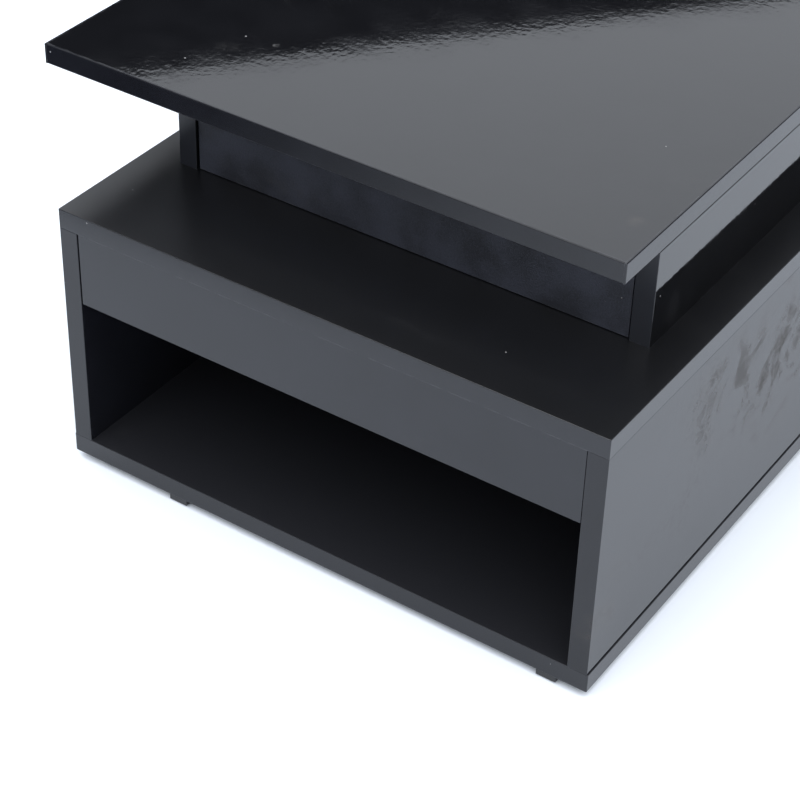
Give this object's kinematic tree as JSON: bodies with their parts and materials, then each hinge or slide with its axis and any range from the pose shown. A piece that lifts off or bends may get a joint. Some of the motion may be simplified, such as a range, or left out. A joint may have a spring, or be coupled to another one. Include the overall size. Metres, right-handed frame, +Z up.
{
  "type": "lift top coffee table",
  "caption": "Black gloss coffee table with open-ended lower box, riser and a top that swings up and sideways on arms.",
  "frame": {"origin": "centre of the bounding box, on the floor", "axes": "+Z up; Y along the long box, with the end that faces the viewer at -Y; -X is the side the top hangs over and lifts towards"},
  "size_m": [0.582, 1.04, 0.363],
  "materials": {
    "gloss_board": "high gloss black lacquer foil",
    "satin_board": "satin black melamine",
    "edge_band": "gloss black edge band",
    "black_steel": "black powder coat",
    "zinc_steel": "bright zinc plate",
    "dowel_wood": "raw beech",
    "rubber": "soft black rubber",
    "glide_plastic": "moulded black plastic"
  },
  "bodies": {
    "cabinet": {"bottom_board": "gloss_board", "side_panel_left": "gloss_board", "side_panel_right": "gloss_board", "top_board": "satin_board", "apron_near": "gloss_board", "apron_far": "gloss_board", "divider": "satin_board", "storage_floor": "satin_board", "riser_side_left": "gloss_board", "riser_side_right": "gloss_board", "riser_end_near": "satin_board", "riser_end_far": "satin_board", "base_bracket_near": "black_steel", "base_bracket_far": "black_steel", "base_pins": "zinc_steel", "stop_pins": "zinc_steel", "base_posts": "zinc_steel", "spring_near": "zinc_steel", "spring_far": "zinc_steel", "dowels": "dowel_wood", "cam_bolts": "zinc_steel", "cam_locks": "zinc_steel", "confirmat_screws": "zinc_steel", "riser_screws": "zinc_steel", "bracket_screws": "zinc_steel", "bumpers": "rubber", "glides": "glide_plastic", "glide_nails": "zinc_steel"},
    "main_arms": {"main_arm_near": "black_steel", "main_arm_far": "black_steel", "cross_tube": "black_steel", "arm_posts": "zinc_steel"},
    "follower_near": {"follower_arm_near": "black_steel"},
    "follower_far": {"follower_arm_far": "black_steel"},
    "lift_top": {"tabletop": "gloss_board", "top_band_left": "edge_band", "top_band_right": "edge_band", "top_band_near": "edge_band", "top_band_far": "edge_band", "top_bracket_near": "black_steel", "top_bracket_far": "black_steel", "top_pins": "zinc_steel", "top_screws": "zinc_steel"}
  },
  "joints": [
    {"name": "lift", "type": "hinge", "parent": "cabinet", "child": "main_arms", "pos_m": [-0.13, 0, 0.30017], "axis": [0, -1, 0], "range_deg": [0, 77], "deforming": ["spring_near", "spring_far"]},
    {"name": "top_level", "type": "hinge", "parent": "main_arms", "child": "lift_top", "pos_m": [0.06805, 0, 0.328], "axis": [0, -1, 0], "range_deg": [-77, 0]},
    {"name": "follower_near_turn", "type": "hinge", "parent": "cabinet", "child": "follower_near", "pos_m": [-0.05, 0, 0.26817], "axis": [0, -1, 0], "range_deg": [0, 77]},
    {"name": "follower_far_turn", "type": "hinge", "parent": "cabinet", "child": "follower_far", "pos_m": [-0.05, 0, 0.26817], "axis": [0, -1, 0], "range_deg": [0, 77]}
  ],
  "couplings": [
    {"joint": "top_level", "follows": "lift", "ratio": -1},
    {"joint": "follower_near_turn", "follows": "lift", "ratio": 1},
    {"joint": "follower_far_turn", "follows": "lift", "ratio": 1}
  ]
}
